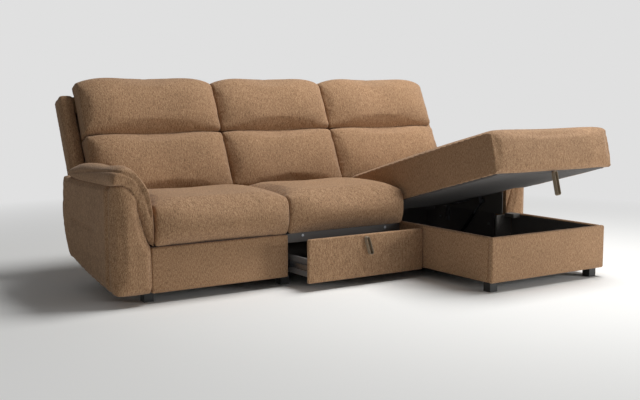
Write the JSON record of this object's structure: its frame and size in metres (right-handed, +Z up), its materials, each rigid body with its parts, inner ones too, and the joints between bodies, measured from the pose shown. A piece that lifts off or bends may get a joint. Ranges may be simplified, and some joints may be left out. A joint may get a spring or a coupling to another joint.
{
  "type": "chaise sofa",
  "caption": "Fabric chaise sofa with leaning padded backs, a pull-out drawer under the seat and a storage chaise under a lifting cushioned lid.",
  "frame": {"origin": "centre of the bounding box on the floor", "axes": "+X along the width towards the chaise, +Y towards the back, +Z up"},
  "size_m": [2.5132, 1.6766, 1.0034],
  "materials": {
    "upholstery": "matte",
    "padded_board": "matte",
    "frame_wood": "matte",
    "foot_plastic": "satin",
    "steel": "satin",
    "strut_paint": "satin",
    "lining": "matte",
    "elastic": "matte",
    "strap": "matte"
  },
  "bodies": {
    "sofa": {"arm_bolts": "steel", "back_panel": "padded_board", "back_posts": "frame_wood", "back_rails": "frame_wood", "back_straps": "elastic", "base_dividers": "frame_wood", "box_floor": "frame_wood", "box_front_panel": "padded_board", "box_infill": "lining", "box_left_panel": "padded_board", "box_right_panel": "padded_board", "centre_head_cushion": "upholstery", "centre_lumbar_cushion": "upholstery", "drawer_runners": "steel", "dust_cover": "lining", "feet": "foot_plastic", "foot_screws": "steel", "front_seat_rail": "frame_wood", "hinge_brackets": "steel", "hinge_pins": "steel", "hinge_screws": "steel", "kick_panel": "padded_board", "left_arm_body": "upholstery", "left_arm_frame": "frame_wood", "left_arm_pad": "upholstery", "left_head_cushion": "upholstery", "left_lumbar_cushion": "upholstery", "left_wing": "upholstery", "link_bolts": "steel", "rail_bolts": "steel", "rear_rail": "frame_wood", "right_arm_body": "upholstery", "right_arm_frame": "frame_wood", "right_arm_pad": "upholstery", "right_head_cushion": "upholstery", "right_lumbar_cushion": "upholstery", "right_wing": "upholstery", "seat_cushion_centre": "upholstery", "seat_cushion_left": "upholstery", "seat_springs_centre": "steel", "seat_springs_left": "steel", "strut_studs": "steel"},
    "lid": {"lid_board": "frame_wood", "lid_cushion": "upholstery", "lid_lining": "lining", "lid_plates": "steel", "lid_studs": "steel"},
    "drawer": {"drawer_front": "padded_board", "drawer_left_side": "frame_wood", "drawer_right_side": "frame_wood", "drawer_back": "frame_wood", "drawer_tray": "frame_wood", "drawer_slides": "steel"},
    "lid_strap": {"lid_pull": "strap"},
    "drawer_strap": {"drawer_pull": "strap"},
    "left_cylinder": {"left_strut_cylinder": "strut_paint"},
    "left_rod": {"left_strut_rod": "steel"},
    "right_cylinder": {"right_strut_cylinder": "strut_paint"},
    "right_rod": {"right_strut_rod": "steel"}
  },
  "joints": [
    {"name": "lid_hinge", "type": "hinge", "parent": "sofa", "child": "lid", "pos_m": [0.7, 0.315, 0.39], "axis": [-1, 0, 0], "range_deg": [-15, 15]},
    {"name": "lid_pull_swing", "type": "hinge", "parent": "lid", "child": "lid_strap", "pos_m": [0.7395, -0.81073, 0.55085], "axis": [0, -0.9659, 0.2588], "range_deg": [-45, 45]},
    {"name": "drawer_slide", "type": "slide", "parent": "sofa", "child": "drawer", "axis": [0, -1, 0], "range_m": [-0.175, 0.225]},
    {"name": "drawer_pull_swing", "type": "hinge", "parent": "drawer", "child": "drawer_strap", "pos_m": [-0.0146, -0.3115, 0.23154], "axis": [0, -1, 0], "range_deg": [-50, 20]},
    {"name": "left_strut_swing", "type": "hinge", "parent": "sofa", "child": "left_cylinder", "pos_m": [0.364, 0.195, 0.1], "axis": [-1, 0, 0], "range_deg": [-9, 9]},
    {"name": "left_strut_stroke", "type": "slide", "parent": "left_cylinder", "child": "left_rod", "axis": [0, -0.6563, 0.7545], "range_m": [-0.078, 0.078]},
    {"name": "right_strut_swing", "type": "hinge", "parent": "sofa", "child": "right_cylinder", "pos_m": [1.036, 0.195, 0.1], "axis": [-1, 0, 0], "range_deg": [-9, 9]},
    {"name": "right_strut_stroke", "type": "slide", "parent": "right_cylinder", "child": "right_rod", "axis": [0, -0.6563, 0.7545], "range_m": [-0.078, 0.078]}
  ],
  "couplings": [
    {"joint": "left_strut_swing", "follows": "lid_hinge", "ratio": 0.515},
    {"joint": "left_strut_stroke", "follows": "lid_hinge", "m_per_rad": 0.2803},
    {"joint": "right_strut_swing", "follows": "lid_hinge", "ratio": 0.515},
    {"joint": "right_strut_stroke", "follows": "lid_hinge", "m_per_rad": 0.2803}
  ]
}
